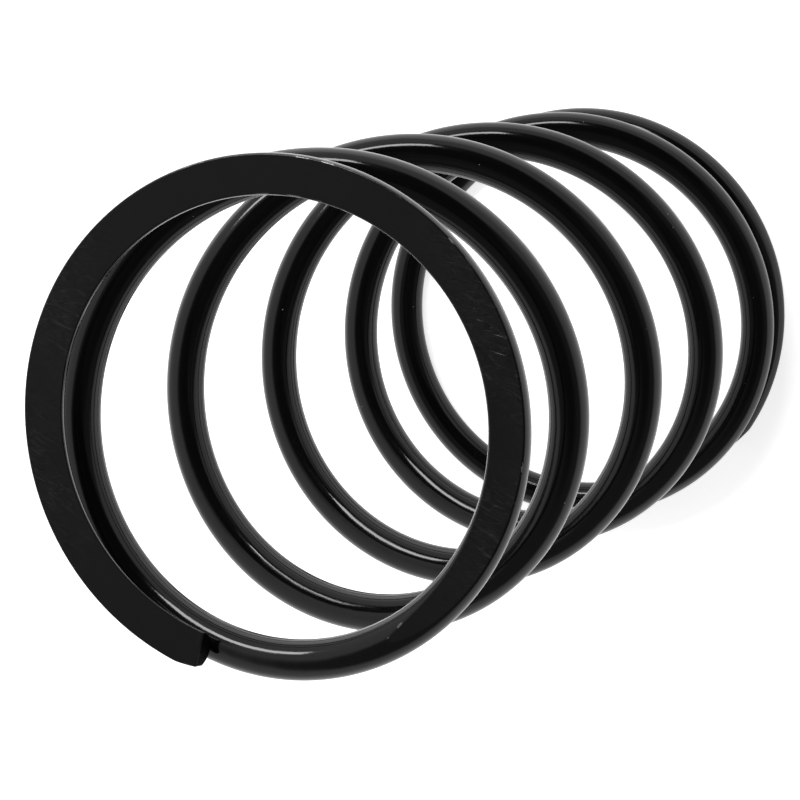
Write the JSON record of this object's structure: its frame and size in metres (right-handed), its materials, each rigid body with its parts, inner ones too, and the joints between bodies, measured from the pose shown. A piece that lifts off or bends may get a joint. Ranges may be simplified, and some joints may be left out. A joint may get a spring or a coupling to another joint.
{
  "type": "coil spring",
  "caption": "Cylindrical compression spring of round black-painted wire, right-hand wound, with closed end coils ground flat.",
  "frame": {"origin": "centre of the lower ground end face, on the coil's axis", "axes": "+Z along the coil's axis from the lower to the upper ground end; the lower wire tip is on +X"},
  "size_m": [0.1529, 0.1532, 0.3203],
  "materials": {
    "black_paint": "gloss black paint on round spring wire",
    "ground_end_paint": "black paint, gloss on the round wire and satin over the ground end face"
  },
  "bodies": {
    "lower_end_coil": {"lower_end_coil": "ground_end_paint"},
    "active_coil_1_arc_1": {"active_coil_1_arc_1": "black_paint"},
    "active_coil_1_arc_2": {"active_coil_1_arc_2": "black_paint"},
    "active_coil_1_arc_3": {"active_coil_1_arc_3": "black_paint"},
    "active_coil_1_arc_4": {"active_coil_1_arc_4": "black_paint"},
    "active_coil_1_arc_5": {"active_coil_1_arc_5": "black_paint"},
    "active_coil_1_arc_6": {"active_coil_1_arc_6": "black_paint"},
    "active_coil_1_arc_7": {"active_coil_1_arc_7": "black_paint"},
    "active_coil_1_arc_8": {"active_coil_1_arc_8": "black_paint"},
    "active_coil_2_arc_1": {"active_coil_2_arc_1": "black_paint"},
    "active_coil_2_arc_2": {"active_coil_2_arc_2": "black_paint"},
    "active_coil_2_arc_3": {"active_coil_2_arc_3": "black_paint"},
    "active_coil_2_arc_4": {"active_coil_2_arc_4": "black_paint"},
    "active_coil_2_arc_5": {"active_coil_2_arc_5": "black_paint"},
    "active_coil_2_arc_6": {"active_coil_2_arc_6": "black_paint"},
    "active_coil_2_arc_7": {"active_coil_2_arc_7": "black_paint"},
    "active_coil_2_arc_8": {"active_coil_2_arc_8": "black_paint"},
    "active_coil_3_arc_1": {"active_coil_3_arc_1": "black_paint"},
    "active_coil_3_arc_2": {"active_coil_3_arc_2": "black_paint"},
    "active_coil_3_arc_3": {"active_coil_3_arc_3": "black_paint"},
    "active_coil_3_arc_4": {"active_coil_3_arc_4": "black_paint"},
    "active_coil_3_arc_5": {"active_coil_3_arc_5": "black_paint"},
    "active_coil_3_arc_6": {"active_coil_3_arc_6": "black_paint"},
    "active_coil_3_arc_7": {"active_coil_3_arc_7": "black_paint"},
    "active_coil_3_arc_8": {"active_coil_3_arc_8": "black_paint"},
    "active_coil_4_arc_1": {"active_coil_4_arc_1": "black_paint"},
    "active_coil_4_arc_2": {"active_coil_4_arc_2": "black_paint"},
    "active_coil_4_arc_3": {"active_coil_4_arc_3": "black_paint"},
    "active_coil_4_arc_4": {"active_coil_4_arc_4": "black_paint"},
    "active_coil_4_arc_5": {"active_coil_4_arc_5": "black_paint"},
    "active_coil_4_arc_6": {"active_coil_4_arc_6": "black_paint"},
    "upper_end_coil": {"upper_end_coil": "ground_end_paint"}
  },
  "joints": [
    {"name": "active_coil_1_arc_1_slide", "type": "slide", "parent": "lower_end_coil", "child": "active_coil_1_arc_1", "axis": [0, 0, -1], "range_m": [0, 0.00105], "stiffness_N_per_m": 575000},
    {"name": "active_coil_1_arc_2_slide", "type": "slide", "parent": "active_coil_1_arc_1", "child": "active_coil_1_arc_2", "axis": [0, 0, -1], "range_m": [0, 0.0047], "stiffness_N_per_m": 575000},
    {"name": "active_coil_1_arc_3_slide", "type": "slide", "parent": "active_coil_1_arc_2", "child": "active_coil_1_arc_3", "axis": [0, 0, -1], "range_m": [0, 0.00551], "stiffness_N_per_m": 575000},
    {"name": "active_coil_1_arc_4_slide", "type": "slide", "parent": "active_coil_1_arc_3", "child": "active_coil_1_arc_4", "axis": [0, 0, -1], "range_m": [0, 0.00613], "stiffness_N_per_m": 575000},
    {"name": "active_coil_1_arc_5_slide", "type": "slide", "parent": "active_coil_1_arc_4", "child": "active_coil_1_arc_5", "axis": [0, 0, -1], "range_m": [0, 0.00676], "stiffness_N_per_m": 575000},
    {"name": "active_coil_1_arc_6_slide", "type": "slide", "parent": "active_coil_1_arc_5", "child": "active_coil_1_arc_6", "axis": [0, 0, -1], "range_m": [0, 0.00719], "stiffness_N_per_m": 575000},
    {"name": "spring_compression", "type": "slide", "parent": "active_coil_1_arc_6", "child": "active_coil_1_arc_7", "axis": [0, 0, -1], "range_m": [0, 0.00735], "stiffness_N_per_m": 575000},
    {"name": "active_coil_1_arc_8_slide", "type": "slide", "parent": "active_coil_1_arc_7", "child": "active_coil_1_arc_8", "axis": [0, 0, -1], "range_m": [0, 0.00732], "stiffness_N_per_m": 575000},
    {"name": "active_coil_2_arc_1_slide", "type": "slide", "parent": "active_coil_1_arc_8", "child": "active_coil_2_arc_1", "axis": [0, 0, -1], "range_m": [0, 0.00728], "stiffness_N_per_m": 575000},
    {"name": "active_coil_2_arc_2_slide", "type": "slide", "parent": "active_coil_2_arc_1", "child": "active_coil_2_arc_2", "axis": [0, 0, -1], "range_m": [0, 0.00723], "stiffness_N_per_m": 575000},
    {"name": "active_coil_2_arc_3_slide", "type": "slide", "parent": "active_coil_2_arc_2", "child": "active_coil_2_arc_3", "axis": [0, 0, -1], "range_m": [0, 0.00719], "stiffness_N_per_m": 575000},
    {"name": "active_coil_2_arc_4_slide", "type": "slide", "parent": "active_coil_2_arc_3", "child": "active_coil_2_arc_4", "axis": [0, 0, -1], "range_m": [0, 0.00715], "stiffness_N_per_m": 575000},
    {"name": "active_coil_2_arc_5_slide", "type": "slide", "parent": "active_coil_2_arc_4", "child": "active_coil_2_arc_5", "axis": [0, 0, -1], "range_m": [0, 0.00711], "stiffness_N_per_m": 575000},
    {"name": "active_coil_2_arc_6_slide", "type": "slide", "parent": "active_coil_2_arc_5", "child": "active_coil_2_arc_6", "axis": [0, 0, -1], "range_m": [0, 0.00709], "stiffness_N_per_m": 575000},
    {"name": "active_coil_2_arc_7_slide", "type": "slide", "parent": "active_coil_2_arc_6", "child": "active_coil_2_arc_7", "axis": [0, 0, -1], "range_m": [0, 0.00709], "stiffness_N_per_m": 575000},
    {"name": "active_coil_2_arc_8_slide", "type": "slide", "parent": "active_coil_2_arc_7", "child": "active_coil_2_arc_8", "axis": [0, 0, -1], "range_m": [0, 0.00709], "stiffness_N_per_m": 575000},
    {"name": "active_coil_3_arc_1_slide", "type": "slide", "parent": "active_coil_2_arc_8", "child": "active_coil_3_arc_1", "axis": [0, 0, -1], "range_m": [0, 0.00709], "stiffness_N_per_m": 575000},
    {"name": "active_coil_3_arc_2_slide", "type": "slide", "parent": "active_coil_3_arc_1", "child": "active_coil_3_arc_2", "axis": [0, 0, -1], "range_m": [0, 0.00709], "stiffness_N_per_m": 575000},
    {"name": "active_coil_3_arc_3_slide", "type": "slide", "parent": "active_coil_3_arc_2", "child": "active_coil_3_arc_3", "axis": [0, 0, -1], "range_m": [0, 0.00711], "stiffness_N_per_m": 575000},
    {"name": "active_coil_3_arc_4_slide", "type": "slide", "parent": "active_coil_3_arc_3", "child": "active_coil_3_arc_4", "axis": [0, 0, -1], "range_m": [0, 0.00715], "stiffness_N_per_m": 575000},
    {"name": "active_coil_3_arc_5_slide", "type": "slide", "parent": "active_coil_3_arc_4", "child": "active_coil_3_arc_5", "axis": [0, 0, -1], "range_m": [0, 0.00719], "stiffness_N_per_m": 575000},
    {"name": "active_coil_3_arc_6_slide", "type": "slide", "parent": "active_coil_3_arc_5", "child": "active_coil_3_arc_6", "axis": [0, 0, -1], "range_m": [0, 0.00723], "stiffness_N_per_m": 575000},
    {"name": "active_coil_3_arc_7_slide", "type": "slide", "parent": "active_coil_3_arc_6", "child": "active_coil_3_arc_7", "axis": [0, 0, -1], "range_m": [0, 0.00728], "stiffness_N_per_m": 575000},
    {"name": "active_coil_3_arc_8_slide", "type": "slide", "parent": "active_coil_3_arc_7", "child": "active_coil_3_arc_8", "axis": [0, 0, -1], "range_m": [0, 0.00732], "stiffness_N_per_m": 575000},
    {"name": "active_coil_4_arc_1_slide", "type": "slide", "parent": "active_coil_3_arc_8", "child": "active_coil_4_arc_1", "axis": [0, 0, -1], "range_m": [0, 0.00735], "stiffness_N_per_m": 575000},
    {"name": "active_coil_4_arc_2_slide", "type": "slide", "parent": "active_coil_4_arc_1", "child": "active_coil_4_arc_2", "axis": [0, 0, -1], "range_m": [0, 0.00719], "stiffness_N_per_m": 575000},
    {"name": "active_coil_4_arc_3_slide", "type": "slide", "parent": "active_coil_4_arc_2", "child": "active_coil_4_arc_3", "axis": [0, 0, -1], "range_m": [0, 0.00676], "stiffness_N_per_m": 575000},
    {"name": "active_coil_4_arc_4_slide", "type": "slide", "parent": "active_coil_4_arc_3", "child": "active_coil_4_arc_4", "axis": [0, 0, -1], "range_m": [0, 0.00613], "stiffness_N_per_m": 575000},
    {"name": "active_coil_4_arc_5_slide", "type": "slide", "parent": "active_coil_4_arc_4", "child": "active_coil_4_arc_5", "axis": [0, 0, -1], "range_m": [0, 0.00551], "stiffness_N_per_m": 575000},
    {"name": "active_coil_4_arc_6_slide", "type": "slide", "parent": "active_coil_4_arc_5", "child": "active_coil_4_arc_6", "axis": [0, 0, -1], "range_m": [0, 0.0047], "stiffness_N_per_m": 575000},
    {"name": "upper_end_coil_slide", "type": "slide", "parent": "active_coil_4_arc_6", "child": "upper_end_coil", "axis": [0, 0, -1], "range_m": [0, 0.00105], "stiffness_N_per_m": 575000}
  ],
  "couplings": [
    {"joint": "active_coil_1_arc_1_slide", "follows": "spring_compression", "ratio": 0.14286},
    {"joint": "active_coil_1_arc_2_slide", "follows": "spring_compression", "ratio": 0.63946},
    {"joint": "active_coil_1_arc_3_slide", "follows": "spring_compression", "ratio": 0.74966},
    {"joint": "active_coil_1_arc_4_slide", "follows": "spring_compression", "ratio": 0.83401},
    {"joint": "active_coil_1_arc_5_slide", "follows": "spring_compression", "ratio": 0.91973},
    {"joint": "active_coil_1_arc_6_slide", "follows": "spring_compression", "ratio": 0.97823},
    {"joint": "active_coil_1_arc_8_slide", "follows": "spring_compression", "ratio": 0.99592},
    {"joint": "active_coil_2_arc_1_slide", "follows": "spring_compression", "ratio": 0.99048},
    {"joint": "active_coil_2_arc_2_slide", "follows": "spring_compression", "ratio": 0.98367},
    {"joint": "active_coil_2_arc_3_slide", "follows": "spring_compression", "ratio": 0.97823},
    {"joint": "active_coil_2_arc_4_slide", "follows": "spring_compression", "ratio": 0.97279},
    {"joint": "active_coil_2_arc_5_slide", "follows": "spring_compression", "ratio": 0.96735},
    {"joint": "active_coil_2_arc_6_slide", "follows": "spring_compression", "ratio": 0.96463},
    {"joint": "active_coil_2_arc_7_slide", "follows": "spring_compression", "ratio": 0.96463},
    {"joint": "active_coil_2_arc_8_slide", "follows": "spring_compression", "ratio": 0.96463},
    {"joint": "active_coil_3_arc_1_slide", "follows": "spring_compression", "ratio": 0.96463},
    {"joint": "active_coil_3_arc_2_slide", "follows": "spring_compression", "ratio": 0.96463},
    {"joint": "active_coil_3_arc_3_slide", "follows": "spring_compression", "ratio": 0.96735},
    {"joint": "active_coil_3_arc_4_slide", "follows": "spring_compression", "ratio": 0.97279},
    {"joint": "active_coil_3_arc_5_slide", "follows": "spring_compression", "ratio": 0.97823},
    {"joint": "active_coil_3_arc_6_slide", "follows": "spring_compression", "ratio": 0.98367},
    {"joint": "active_coil_3_arc_7_slide", "follows": "spring_compression", "ratio": 0.99048},
    {"joint": "active_coil_3_arc_8_slide", "follows": "spring_compression", "ratio": 0.99592},
    {"joint": "active_coil_4_arc_1_slide", "follows": "spring_compression", "ratio": 1},
    {"joint": "active_coil_4_arc_2_slide", "follows": "spring_compression", "ratio": 0.97823},
    {"joint": "active_coil_4_arc_3_slide", "follows": "spring_compression", "ratio": 0.91973},
    {"joint": "active_coil_4_arc_4_slide", "follows": "spring_compression", "ratio": 0.83401},
    {"joint": "active_coil_4_arc_5_slide", "follows": "spring_compression", "ratio": 0.74966},
    {"joint": "active_coil_4_arc_6_slide", "follows": "spring_compression", "ratio": 0.63946},
    {"joint": "upper_end_coil_slide", "follows": "spring_compression", "ratio": 0.14286}
  ]
}
